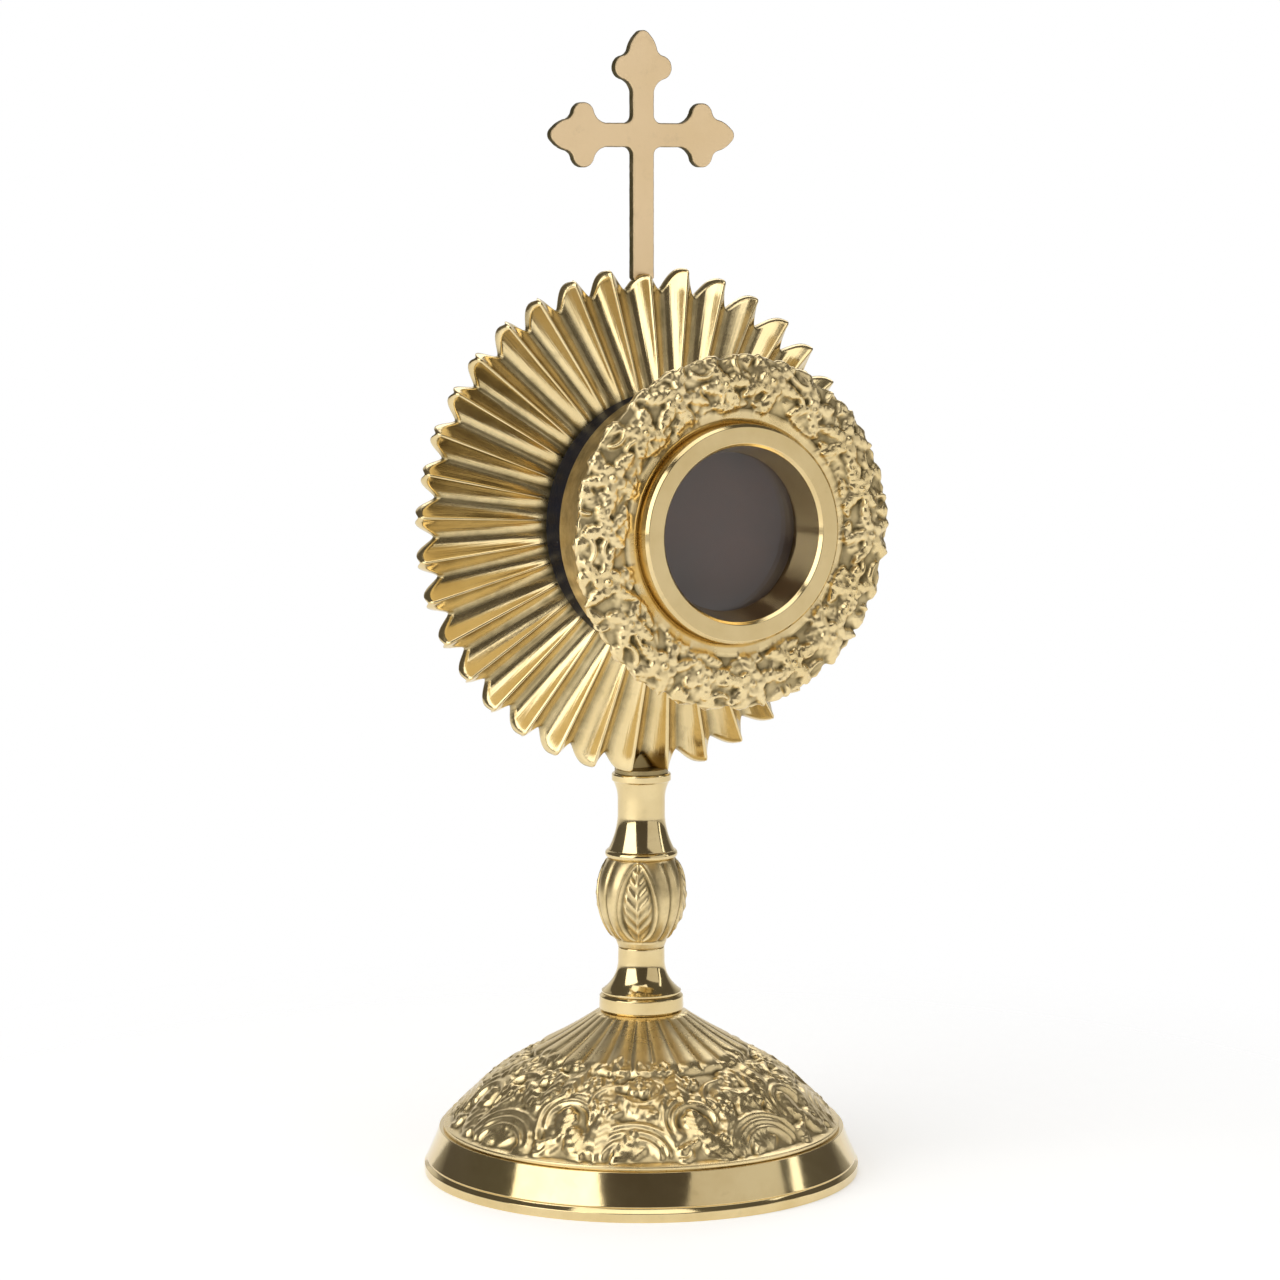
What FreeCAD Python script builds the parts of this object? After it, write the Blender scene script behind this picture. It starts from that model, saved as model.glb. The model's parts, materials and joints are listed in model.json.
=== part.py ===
"""Small brass reliquary monstrance, about 230 mm tall, as separate pieces.

The origin is on the floor under the stem's axis.  +Z is up and the window faces -Y.
The head's own axis runs along -Y at height HEAD_Z.  "Forward" distances are measured
from the stem's axis towards the viewer, so forward 10 is y = -10.  Millimetres.
"""
import FreeCAD, Part
import math
import os

from FreeCAD import Vector

# ---------------------------------------------------------------- driving dimensions
TOTAL_HEIGHT = 230.0       # floor to the tip of the cross
HEAD_Z = 133.2             # height of the window's centre
FIT = 0.05                 # radial clearance between pieces that are a fit

# foot
RIM_R = 44.3               # radius of the foot on the floor
STEP_TOP = 2.2             # height of the plain step under the flared band
BAND_TOP_R, BAND_TOP_Z = 41.2, 9.2
SHELL_R = 40.4             # radius of the embossed dome where it sits on the band
FLUTE_R, FLUTE_Z = 21.5, 24.3   # where the fluted cone runs out into the dome
CROWN_R, CROWN_Z = 8.6, 32.8    # flat crown that the stem stands on
SHEET = 1.5                # wall of the foot's dome

# stem, heights of the joints between its castings
COLLAR_TOP, FOOT_TOP, KNOP_TOP, BEAD_TOP, NECK_TOP = 36.4, 46.0, 64.3, 65.9, 81.6
COLLAR_TOP_R = 8.0
JOINT_GAP = 0.05
ROD_R = 1.95               # M4 rod through the stem
ROD_HOLE_R = 2.2
SPIGOT_R = 3.6             # threaded spigot under the head
SPIGOT_BOTTOM = 66.6

# ray plate
RAYS = 37
RAY_STEP = 360.0 / RAYS
TIP_R, VALLEY_R = 50.6, 46.3
TIP_FORWARD, VALLEY_FORWARD = 3.8, 1.0
HUB_R = 21.0
HUB_CREST_FORWARD, HUB_VALLEY_FORWARD = 8.8, 8.4
RAY_WALL = 1.6

# relic case
TUBE_R, TUBE_BORE_R = 22.2, 19.8
TUBE_REAR, TUBE_FRONT = -5.2, 33.0
LIP_R, LIP_WALL = 17.4, 2.6
BAND_R, BAND_REAR, BAND_FRONT = 25.9, 8.85, 18.0
FACE_FORWARD = 42.3        # front face of the bezel
BEZEL_R, WINDOW_R = 21.2, 16.9
GLASS_R, GLASS_WALL = 19.3, 1.45
FRAME_R, FRAME_FRONT, FRAME_REAR = 26.6, -2.4, -6.6

# rear door and its hinge
DOOR_R, DOOR_FRONT, DOOR_REAR = 24.8, -6.9, -8.3
PLUG_R, PLUG_FRONT = 20.2, -5.6
HINGE_X, HINGE_Y, BARREL_R = 28.6, 7.6, 1.7
PIN_R = 0.75
KNUCKLE_HALF, HINGE_HALF = 4.1, 8.2
LATCH_X = -28.2            # pivot of the turn-button, beyond the door's edge
LATCH_GAP = 0.3            # between the turn-button and the door's back
LATCH_WALL = 1.2

# cross
CROSS_Z = 209.4            # height of the arms' centre line
ARM_SPAN = 20.6            # centre to the tip of an arm
LIMB_HALF = 2.4
CROSS_FRONT, CROSS_BACK = -1.0, 0.8    # y of the two faces
TANG_HALF, TANG_BOTTOM = 1.6, 166.0


# ---------------------------------------------------------------- helpers
def outline(start, *steps):
    """Closed face in the XZ plane.  A step is a point, or a pair (through, end) for an arc."""
    here = Vector(start[0], 0, start[1])
    first = here
    edges = []
    for step in steps:
        if isinstance(step[0], tuple):
            through = Vector(step[0][0], 0, step[0][1])
            end = Vector(step[1][0], 0, step[1][1])
            edges.append(Part.Arc(here, through, end).toShape())
        else:
            end = Vector(step[0], 0, step[1])
            edges.append(Part.LineSegment(here, end).toShape())
        here = end
    if (here - first).Length > 1e-6:
        edges.append(Part.LineSegment(here, first).toShape())
    return Part.Face(Part.Wire(edges))


def turned(start, *steps):
    """Solid turned about the stem's axis from (radius, height) points."""
    return outline(start, *steps).revolve(Vector(0, 0, 0), Vector(0, 0, 1), 360)


def on_head(shape):
    """Turn a shape built about +Z, with z as the forward distance, onto the head's axis."""
    shape.rotate(Vector(0, 0, 0), Vector(1, 0, 0), 90)
    shape.translate(Vector(0, 0, HEAD_Z))
    return shape


def head_turned(start, *steps):
    """Solid turned about the head's axis from (radius, forward) points."""
    return on_head(turned(start, *steps))


def head_ring(inner, outer, rear, front):
    return head_turned((inner, rear), (outer, rear), (outer, front), (inner, front))


def head_disc(radius, rear, front):
    return on_head(Part.makeCylinder(radius, front - rear, Vector(0, 0, rear)))


def rod(radius, start, end):
    """Round bar between two points."""
    a, b = Vector(*start), Vector(*end)
    return Part.makeCylinder(radius, (b - a).Length, a, b - a)


def block(low, high):
    return Part.makeBox(high[0] - low[0], high[1] - low[1], high[2] - low[2], Vector(*low))


def save(name, shape):
    shape.exportStep("parts/" + name + ".step")


# ---------------------------------------------------------------- foot
def base_rim():
    """Plain flared band that the foot stands on, with a ledge for the dome."""
    return turned((42.3, 0), (RIM_R, 0), (RIM_R, STEP_TOP), (RIM_R - 0.5, STEP_TOP + 0.6),
                  ((42.4, 6.0), (BAND_TOP_R, BAND_TOP_Z)), (38.9, BAND_TOP_Z),
                  (38.9, 7.6), ((40.2, 4.6), (42.3, 0)))


def base_shell():
    """Embossed dome and fluted cone, one hollow sheet with a drilled crown."""
    rest = BAND_TOP_Z + JOINT_GAP
    return turned((39.1, rest), (SHELL_R, rest), (SHELL_R, 10.1), (39.8, 10.3),
                  ((36.7, 13.4), (33.4, 16.4)), ((28.3, 20.6), (FLUTE_R, FLUTE_Z)),
                  ((15.2, 28.0), (CROWN_R, CROWN_Z - 0.1)),
                  (CROWN_R - 0.3, CROWN_Z), (ROD_HOLE_R, CROWN_Z),
                  (ROD_HOLE_R, CROWN_Z - 2.4), (8.2, CROWN_Z - 2.4),
                  ((14.6, 26.5), (FLUTE_R - 0.7, FLUTE_Z - SHEET)),
                  ((27.4, 19.4), (32.4, 15.3)), ((35.7, 12.3), (39.1, rest)))


def base_washer():
    top = CROWN_Z - 2.4 - JOINT_GAP
    return turned((ROD_HOLE_R, top - 1.2), (8.0, top - 1.2), (8.0, top), (ROD_HOLE_R, top))


def base_nut():
    """M4 hexagon nut."""
    across_corners, height = 8.1, 3.2
    top = CROWN_Z - 2.4 - 1.2 - 2 * JOINT_GAP
    corners = [Vector(across_corners / 2 * math.cos(math.radians(60 * i)),
                      across_corners / 2 * math.sin(math.radians(60 * i)), top - height)
               for i in range(7)]
    prism = Part.Face(Part.makePolygon(corners)).extrude(Vector(0, 0, height))
    return prism.cut(rod(ROD_R + FIT, (0, 0, top - height - 1), (0, 0, top + 1)))


def tie_rod():
    return rod(ROD_R, (0, 0, 22.5), (0, 0, 77.0))


# ---------------------------------------------------------------- stem
def stem_collar():
    low = CROWN_Z + JOINT_GAP
    return turned((ROD_HOLE_R, low), (CROWN_R - 0.4, low), (CROWN_R, low + 0.5),
                  (CROWN_R - 0.1, COLLAR_TOP - 0.5), (COLLAR_TOP_R, COLLAR_TOP), (ROD_HOLE_R, COLLAR_TOP))


def stem_foot():
    low = COLLAR_TOP + JOINT_GAP
    return turned((ROD_HOLE_R, low), (COLLAR_TOP_R, low), (8.1, low + 0.5), ((5.5, 39.9), (4.75, 43.6)),
                  (4.7, FOOT_TOP), (ROD_HOLE_R, FOOT_TOP))


def stem_knop():
    """Egg-shaped grip of the stem."""
    low = FOOT_TOP + JOINT_GAP
    return turned((ROD_HOLE_R, low), (4.7, low), (5.2, 47.4), ((9.45, 56.8), (6.8, KNOP_TOP)),
                  (ROD_HOLE_R, KNOP_TOP))


def stem_bead():
    low = KNOP_TOP + JOINT_GAP
    return turned((ROD_HOLE_R, low), (6.9, low), ((7.35, 65.1), (6.9, BEAD_TOP)),
                  (ROD_HOLE_R, BEAD_TOP))


def stem_neck():
    """Upper neck, bored to take the head's spigot, with a small collar on top."""
    low = BEAD_TOP + JOINT_GAP
    bore_r = SPIGOT_R + FIT
    return turned((ROD_HOLE_R, low), (6.7, low), ((5.3, 69.6), (4.8, 72.6)), (4.8, 76.2),
                  ((5.1, 78.4), (5.7, NECK_TOP - 1.7)), (6.0, NECK_TOP - 1.5), (6.0, NECK_TOP - 0.3),
                  (5.8, NECK_TOP), (bore_r, NECK_TOP), (bore_r, SPIGOT_BOTTOM - 0.2),
                  (ROD_HOLE_R, SPIGOT_BOTTOM - 0.2))


def head_boss():
    """Foot disc, web behind the rays and threaded spigot that join the head to the stem."""
    low = NECK_TOP + JOINT_GAP
    disc_top = low + 0.85
    web_half, web_rear, web_top = 3.4, 4.6, 112.0
    disc = rod(5.4, (0, 0, low), (0, 0, disc_top))
    spigot = rod(SPIGOT_R, (0, 0, SPIGOT_BOTTOM), (0, 0, low + 0.5))
    side = outline((web_rear, disc_top - 0.5), (0.0, disc_top - 0.5), (0.8, 86.4), (-2.6, 98.6),
                   (-2.6, web_top), (web_rear, web_top))
    side.rotate(Vector(0, 0, 0), Vector(0, 0, 1), 90)
    web = side.extrude(Vector(2 * web_half, 0, 0))
    web.translate(Vector(-web_half, 0, 0))
    tube_space = head_disc(TUBE_R + FIT, -20, 20)
    frame_space = head_disc(FRAME_R + FIT, FRAME_REAR, FRAME_FRONT + FIT)
    thread = rod(ROD_R + FIT, (0, 0, SPIGOT_BOTTOM - 1), (0, 0, 78.0))
    return disc.fuse([spigot, web]).cut([tube_space, frame_space, thread]).removeSplitter()


# ---------------------------------------------------------------- ray plate and cross
def ray_point(angle, radius, forward):
    """Point at a clock angle in degrees from the top, on the head's axis frame."""
    a = math.radians(angle)
    return Vector(radius * math.sin(a), -forward, HEAD_Z + radius * math.cos(a))


def sunburst():
    """Dished plate of raised rays, the same thickness all over, bored for the case."""
    back = Vector(0, RAY_WALL, 0)
    faces = []

    def strip(a, b, c, d):
        faces.append(Part.makeRuledSurface(Part.makeLine(a, b), Part.makeLine(c, d)))

    for i in range(RAYS):
        crest_angle = i * RAY_STEP
        crest_in = ray_point(crest_angle, HUB_R, HUB_CREST_FORWARD)
        crest_out = ray_point(crest_angle, TIP_R, TIP_FORWARD)
        for side in (-0.5, 0.5):
            valley_angle = crest_angle + side * RAY_STEP
            valley_in = ray_point(valley_angle, HUB_R, HUB_VALLEY_FORWARD)
            valley_out = ray_point(valley_angle, VALLEY_R, VALLEY_FORWARD)
            strip(crest_in, crest_out, valley_in, valley_out)
            strip(crest_in + back, crest_out + back, valley_in + back, valley_out + back)
            strip(crest_out, crest_out + back, valley_out, valley_out + back)
            strip(crest_in, crest_in + back, valley_in, valley_in + back)
    shell = Part.makeShell(faces)
    shell.sewShape()
    plate = Part.makeSolid(shell)
    if plate.Volume < 0:
        plate.reverse()
    return plate.cut(head_disc(TUBE_R + 2 * FIT, -20, 20))


def trefoil(tip, turn):
    """Outline of one budded end, from one side of its neck round the tip to the other.

    The end is drawn pointing along +X from the crossing, then turned anticlockwise.
    """
    neck = (tip - 12.2, LIMB_HALF)
    upper = [((tip - 10.7, 3.05), (tip - 9.7, 4.4)), ((tip - 7.2, 6.4), (tip - 5.0, 4.5)),
             ((tip - 4.55, 3.65), (tip - 3.8, 3.15)), ((tip - 1.7, 2.1), (tip - 0.35, 0.75))]
    ends = [neck] + [end for through, end in upper]
    lower = [((through[0], -through[1]), (ends[i][0], -ends[i][1]))
             for i, (through, end) in reversed(list(enumerate(upper)))]
    round_tip = ((tip, 0.0), (tip - 0.35, -0.75))
    a = math.radians(turn)

    def place(point):
        u, v = point
        return (u * math.cos(a) - v * math.sin(a), CROSS_Z + u * math.sin(a) + v * math.cos(a))

    arcs = [(place(through), place(end)) for through, end in upper + [round_tip] + lower]
    return [place(neck)] + arcs


def crossing_corner(side_x, side_z, from_upright):
    """Rounded inner corner between the upright and an arm."""
    fillet = 1.5
    far = LIMB_HALF + fillet
    middle = LIMB_HALF + fillet * (1 - math.sqrt(0.5))
    on_upright = (side_x * LIMB_HALF, CROSS_Z + side_z * far)
    on_arm = (side_x * far, CROSS_Z + side_z * LIMB_HALF)
    through = (side_x * middle, CROSS_Z + side_z * middle)
    start, end = (on_upright, on_arm) if from_upright else (on_arm, on_upright)
    return [start, (through, end)]


def cross():
    """Flat cross with budded ends and a narrow tang that lies in the top ray's hollow."""
    shoulder = HEAD_Z + TIP_R + 0.4
    steps = [(-TANG_HALF, shoulder), (-LIMB_HALF, shoulder)]
    steps += crossing_corner(-1, -1, True) + trefoil(ARM_SPAN, 180)
    steps += crossing_corner(-1, 1, False) + trefoil(TOTAL_HEIGHT - CROSS_Z, 90)
    steps += crossing_corner(1, 1, True) + trefoil(ARM_SPAN, 0)
    steps += crossing_corner(1, -1, False)
    steps += [(LIMB_HALF, shoulder), (TANG_HALF, shoulder), (TANG_HALF, TANG_BOTTOM)]
    slab = outline((-TANG_HALF, TANG_BOTTOM), *steps).extrude(Vector(0, CROSS_BACK - CROSS_FRONT, 0))
    slab.translate(Vector(0, CROSS_FRONT, 0))
    return slab


# ---------------------------------------------------------------- relic case
def case_tube():
    """Drum of the case: a thin tube with an inner lip at its front end."""
    return head_turned((TUBE_BORE_R, TUBE_REAR), (TUBE_R, TUBE_REAR), (TUBE_R, TUBE_FRONT),
                       (LIP_R, TUBE_FRONT), (LIP_R, TUBE_FRONT - LIP_WALL),
                       (TUBE_BORE_R, TUBE_FRONT - LIP_WALL))


def lock_ring():
    """Ring behind the rays with four spanner notches."""
    outer, rear, front = 27.0, 2.6, 4.9
    ring = head_ring(TUBE_R + FIT, outer, rear, front)
    for quarter in range(4):
        notch = block((-1.5, -front - 1, outer - 1.6), (1.5, -rear + 1, outer + 1))
        notch.translate(Vector(0, 0, HEAD_Z))
        notch.rotate(Vector(0, 0, HEAD_Z), Vector(0, 1, 0), 45 + 90 * quarter)
        ring = ring.cut(notch)
    return ring


def black_band():
    return head_ring(TUBE_R + FIT, BAND_R, BAND_REAR, BAND_FRONT)


def ornate_ring():
    """Flared front casting: plain skirt, embossed face, hollow behind, sleeve on the tube."""
    sleeve_r = TUBE_R + FIT
    seat_r = BEZEL_R + 0.35
    return head_turned((BAND_R + 0.1, 17.4), (27.1, 17.4), ((29.2, 28.6), (33.8, 36.8)),
                       ((34.5, 38.1), (33.6, 39.2)), ((29.0, 40.4), (24.0, 39.6)),
                       ((22.9, 38.6), (seat_r, 38.3)), (seat_r, TUBE_FRONT + 0.2),
                       (sleeve_r, TUBE_FRONT + 0.2), (sleeve_r, 24.0), (23.9, 24.0),
                       (23.9, 35.8), ((27.5, 37.6), (31.8, 36.9)), ((27.7, 28.4), (26.0, 17.4)))


def bezel_ring():
    """Turned window ring: flat face, bright inner chamfer, deep bore and a lip for the glass."""
    seat_r = BEZEL_R + 0.3
    recess_r = GLASS_R + 0.2
    foot = TUBE_FRONT + 0.3
    lip_rear, lip_front, lip_r = 35.2, 36.2, 15.4
    return head_turned((recess_r, foot), (seat_r, foot), (seat_r, 38.1), (BEZEL_R, 38.4),
                       (BEZEL_R, FACE_FORWARD - 0.4), (BEZEL_R - 0.4, FACE_FORWARD),
                       (WINDOW_R + 0.5, FACE_FORWARD), (WINDOW_R, FACE_FORWARD - 0.6),
                       (WINDOW_R - 0.4, lip_front), (lip_r, lip_front), (lip_r, lip_rear),
                       (recess_r, lip_rear))


def front_glass():
    return head_disc(GLASS_R, 33.7, 33.7 + GLASS_WALL)


def glass_gasket():
    return head_ring(LIP_R + 0.1, GLASS_R, TUBE_FRONT + JOINT_GAP, 33.65)


def backing_disc():
    """Cloth-covered card that shows dark behind the glass."""
    front = TUBE_FRONT - LIP_WALL - JOINT_GAP
    return head_disc(TUBE_BORE_R - 0.3, front - 1.3, front)


def retaining_ring():
    """Split spring ring that holds the card forward."""
    wire_r, opening = 0.55, 24.0
    centre_r = TUBE_BORE_R - wire_r - FIT
    circle = Part.Wire(Part.makeCircle(wire_r, Vector(centre_r, 0, 0), Vector(0, 1, 0)))
    ring = Part.Face(circle).revolve(Vector(0, 0, 0), Vector(0, 0, 1), 360 - opening)
    ring.rotate(Vector(0, 0, 0), Vector(0, 0, 1), -90 + opening / 2)
    ring.translate(Vector(0, 0, TUBE_FRONT - LIP_WALL - 1.3 - wire_r - 2 * JOINT_GAP))
    return on_head(ring)


def hinge_screw_places():
    return [(HINGE_X, 4.0, HEAD_Z + dz) for dz in (-2.2, 2.2)]


def door_frame():
    """Rear mouth of the case with an ear for the turn-button."""
    frame = head_turned((TUBE_R + FIT, FRAME_FRONT), (25.4, FRAME_FRONT), (FRAME_R, -3.0),
                        (FRAME_R, FRAME_REAR), (PLUG_R + 0.4, FRAME_REAR),
                        (PLUG_R + 0.4, TUBE_REAR - FIT), (TUBE_R + FIT, TUBE_REAR - FIT))
    ear = rod(2.6, (LATCH_X, 3.4, HEAD_Z), (LATCH_X, -FRAME_REAR, HEAD_Z))
    ear = ear.fuse(block((LATCH_X, 3.4, HEAD_Z - 2.6), (LATCH_X + 3.0, -FRAME_REAR, HEAD_Z + 2.6)))
    frame = frame.fuse(ear).removeSplitter()
    frame = frame.cut(rod(0.95, (LATCH_X, 2.0, HEAD_Z), (LATCH_X, 10.0, HEAD_Z)))
    for x, y, z in hinge_screw_places():
        frame = frame.cut(rod(0.83, (x - 4.9, y, z), (x + 2, y, z)))
    return frame


# ---------------------------------------------------------------- hinge, door and latch
def hinge_bracket():
    """Saddle on the case with the two fixed knuckles."""
    low, high = HEAD_Z - HINGE_HALF, HEAD_Z + HINGE_HALF
    gap = KNUCKLE_HALF + 0.1
    saddle = block((22.0, 3.2, low), (HINGE_X, 5.5, high))
    pieces = []
    for a, b in ((low, HEAD_Z - gap), (HEAD_Z + gap, high)):
        pieces.append(rod(BARREL_R, (HINGE_X, HINGE_Y, a), (HINGE_X, HINGE_Y, b)))
        pieces.append(block((HINGE_X - 1.2, 4.5, a), (HINGE_X + 1.2, HINGE_Y, b)))
    bracket = saddle.fuse(pieces).removeSplitter()
    bracket = bracket.cut(head_disc(FRAME_R + FIT, -20, 20))
    bracket = bracket.cut(rod(PIN_R + 0.03, (HINGE_X, HINGE_Y, low - 1), (HINGE_X, HINGE_Y, high + 1)))
    for x, y, z in hinge_screw_places():
        bracket = bracket.cut(rod(0.83, (x - 5, y, z), (x + 2, y, z)))
    return bracket


def hinge_pin():
    low, high = HEAD_Z - HINGE_HALF - 0.5, HEAD_Z + HINGE_HALF + 0.05
    pin = rod(PIN_R, (HINGE_X, HINGE_Y, low), (HINGE_X, HINGE_Y, high))
    head = rod(1.3, (HINGE_X, HINGE_Y, high), (HINGE_X, HINGE_Y, high + 0.8))
    return pin.fuse(head).removeSplitter()


def hinge_screws():
    """Two round-headed screws, separate solids."""
    screws = []
    for x, y, z in hinge_screw_places():
        shank = rod(0.8, (x - 4.6, y, z), (x + 0.05, y, z))
        screws.append(shank.fuse(rod(1.3, (x + 0.05, y, z), (x + 0.8, y, z))).removeSplitter())
    return Part.makeCompound(screws)


def rear_door():
    """Round door with a shallow plug that centres it in the frame."""
    return head_turned((0, DOOR_REAR), (DOOR_R - 0.5, DOOR_REAR), (DOOR_R, DOOR_REAR + 0.5),
                       (DOOR_R, DOOR_FRONT), (PLUG_R, DOOR_FRONT), (PLUG_R, PLUG_FRONT),
                       (0, PLUG_FRONT)).cut(rod(0.85, (0, 0, HEAD_Z), (0, 20, HEAD_Z)))


def strap_rivet_places():
    return [(21.8, HEAD_Z + dz) for dz in (-2.2, 2.2)]


def door_strap():
    """Moving hinge leaf on the back of the door."""
    half = KNUCKLE_HALF
    top = -DOOR_REAR + FIT
    strap = block((19.4, top, HEAD_Z - half), (HINGE_X, top + 0.95, HEAD_Z + half))
    knuckle = rod(BARREL_R, (HINGE_X, HINGE_Y, HEAD_Z - half), (HINGE_X, HINGE_Y, HEAD_Z + half))
    leaf = strap.fuse(knuckle).removeSplitter()
    return leaf.cut(rod(PIN_R + 0.07, (HINGE_X, HINGE_Y, HEAD_Z - 9), (HINGE_X, HINGE_Y, HEAD_Z + 9)))


def strap_rivets():
    """Two domed rivet heads on the strap, separate solids."""
    top = -DOOR_REAR + FIT + 0.95 + JOINT_GAP
    heads = [rod(1.1, (x, top, z), (x, top + 0.6, z)) for x, z in strap_rivet_places()]
    return Part.makeCompound(heads)


def door_lining():
    return head_disc(PLUG_R - 1.0, PLUG_FRONT + JOINT_GAP, PLUG_FRONT + 0.85)


def door_knob():
    """Small turned pull at the door's centre, riveted through it."""
    knob = turned((0, 8.0), (0.8, 8.0), (0.8, 8.35), (2.4, 8.35), (2.4, 8.7), (1.1, 9.5),
                  (1.1, 10.2), ((2.5, 11.6), (1.4, 13.4)), (0, 13.4))
    knob = knob.fuse(rod(0.8, (0, 0, 5.8), (0, 0, 8.2))).removeSplitter()
    knob.rotate(Vector(0, 0, 0), Vector(1, 0, 0), -90)
    knob.translate(Vector(0, 0, HEAD_Z))
    return knob


def latch_washer():
    return head_pivot_ring(0.95, 2.0, -FRAME_REAR + JOINT_GAP, -DOOR_REAR + LATCH_GAP - 0.1)


def head_pivot_ring(inner, outer, front, rear):
    """Ring about the turn-button's pivot between two y values."""
    ring = rod(outer, (LATCH_X, front, HEAD_Z), (LATCH_X, rear, HEAD_Z))
    return ring.cut(rod(inner, (LATCH_X, front - 1, HEAD_Z), (LATCH_X, rear + 1, HEAD_Z)))


def latch_button():
    """Turn-button, shown hanging down, clear of the door."""
    front = -DOOR_REAR + LATCH_GAP
    rear = front + LATCH_WALL
    length, half = 6.2, 1.7
    plate = block((LATCH_X - half, front, HEAD_Z - length), (LATCH_X + half, rear, HEAD_Z))
    plate = plate.fuse([rod(2.3, (LATCH_X, front, HEAD_Z), (LATCH_X, rear, HEAD_Z)),
                        rod(half, (LATCH_X, front, HEAD_Z - length),
                            (LATCH_X, rear, HEAD_Z - length))]).removeSplitter()
    return plate.cut(rod(0.97, (LATCH_X, front - 1, HEAD_Z), (LATCH_X, rear + 1, HEAD_Z)))


def latch_screw():
    top = -DOOR_REAR + LATCH_GAP + LATCH_WALL + 0.1
    shank = rod(0.9, (LATCH_X, 3.6, HEAD_Z), (LATCH_X, top, HEAD_Z))
    head = rod(1.9, (LATCH_X, top, HEAD_Z), (LATCH_X, top + 1.0, HEAD_Z))
    return shank.fuse(head).removeSplitter()


PIECES = [
    base_rim, base_shell, base_washer, base_nut, tie_rod,
    stem_collar, stem_foot, stem_knop, stem_bead, stem_neck, head_boss,
    sunburst, cross, case_tube, lock_ring, black_band, ornate_ring, bezel_ring,
    front_glass, glass_gasket, backing_disc, retaining_ring, door_frame,
    hinge_bracket, hinge_pin, hinge_screws,
    rear_door, door_strap, strap_rivets, door_lining, door_knob,
    latch_washer, latch_button, latch_screw,
]

os.makedirs("parts", exist_ok=True)
for piece in PIECES:
    shape = piece()
    print("%-15s solids %d valid %s volume %.1f" % (piece.__name__, len(shape.Solids),
                                                   shape.isValid(), shape.Volume))
    save(piece.__name__, shape)
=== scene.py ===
import json
import math
import random

import bmesh
import bpy
import numpy as np
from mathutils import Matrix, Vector

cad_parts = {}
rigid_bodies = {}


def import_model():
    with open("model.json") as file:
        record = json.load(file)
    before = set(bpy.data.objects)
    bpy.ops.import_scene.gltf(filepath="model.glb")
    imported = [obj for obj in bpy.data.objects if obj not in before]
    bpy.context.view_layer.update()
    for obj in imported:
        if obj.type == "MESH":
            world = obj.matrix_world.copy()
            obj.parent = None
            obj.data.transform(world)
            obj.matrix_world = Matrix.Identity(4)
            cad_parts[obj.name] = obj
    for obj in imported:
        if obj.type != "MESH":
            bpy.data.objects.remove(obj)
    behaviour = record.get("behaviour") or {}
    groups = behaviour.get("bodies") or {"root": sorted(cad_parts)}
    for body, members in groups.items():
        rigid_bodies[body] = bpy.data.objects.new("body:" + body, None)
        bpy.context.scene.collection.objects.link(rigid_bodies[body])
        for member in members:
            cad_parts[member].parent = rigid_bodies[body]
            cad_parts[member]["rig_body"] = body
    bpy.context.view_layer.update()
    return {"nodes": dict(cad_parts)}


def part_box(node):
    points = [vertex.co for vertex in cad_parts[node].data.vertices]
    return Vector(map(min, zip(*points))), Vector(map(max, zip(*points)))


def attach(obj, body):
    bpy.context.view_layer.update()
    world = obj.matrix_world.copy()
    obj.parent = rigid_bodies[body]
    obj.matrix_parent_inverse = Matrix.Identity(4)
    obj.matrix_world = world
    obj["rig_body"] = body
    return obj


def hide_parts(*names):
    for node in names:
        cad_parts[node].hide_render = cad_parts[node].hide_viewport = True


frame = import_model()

# Lengths are in millimetres until a mesh is made.
MM = 0.001
TAU = 2 * math.pi
OFF = -9.0             # height of a motif outside its own outline
SMALL_TURN = 0.3       # corners that turn less than this, in radians, aren't rounded
ON_AXIS = 1e-6         # an outline that starts nearer the axis than this is closed by it
LONGEST = 1.2          # longest step along a turned outline
RAYS_ROUND = 37
FLUTES = 26            # tongues round the cone of the foot


def middle_height(name):
    low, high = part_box(name)
    return (low[2] + high[2]) / 2 / MM


HEAD_Z = middle_height("black_band")   # height of the case's axis
BODY_OF = {n: o["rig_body"] for n, o in frame["nodes"].items()}
CAMERA_AT = (-370.8, -702.7, 201.8)
CAMERA_TO = (-0.24, 0.12, 108.5)
SHOWN_SIDE = math.atan2(CAMERA_AT[1], CAMERA_AT[0])   # the castings' ornament is centred here


# ---------------------------------------------------------------- outlines

def arc(start, via, end, step):
    """Points of the circle through three points, without the first."""
    (ax, ay), (bx, by), (cx, cy) = start, via, end
    d = 2 * (ax * (by - cy) + bx * (cy - ay) + cx * (ay - by))
    aa, bb, cc = ax * ax + ay * ay, bx * bx + by * by, cx * cx + cy * cy
    ux = (aa * (by - cy) + bb * (cy - ay) + cc * (ay - by)) / d
    uy = (aa * (cx - bx) + bb * (ax - cx) + cc * (bx - ax)) / d
    r = math.hypot(ax - ux, ay - uy)
    first, between, last = (math.atan2(y - uy, x - ux) for x, y in (start, via, end))
    sweep = (last - first) % TAU
    if (between - first) % TAU > sweep:
        sweep -= TAU
    n = max(2, math.ceil(abs(sweep) * r / step))
    return [(ux + r * math.cos(first + sweep * i / n), uy + r * math.sin(first + sweep * i / n))
            for i in range(1, n + 1)]


def path(spec, step=0.5):
    """Corners, and arcs written ((via), (end)), as one run of points."""
    points = [spec[0]]
    for item in spec[1:]:
        if isinstance(item[0], tuple):
            points += arc(points[-1], item[0], item[1], step)
        else:
            points.append(item)
    return np.array(points, float)


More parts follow.
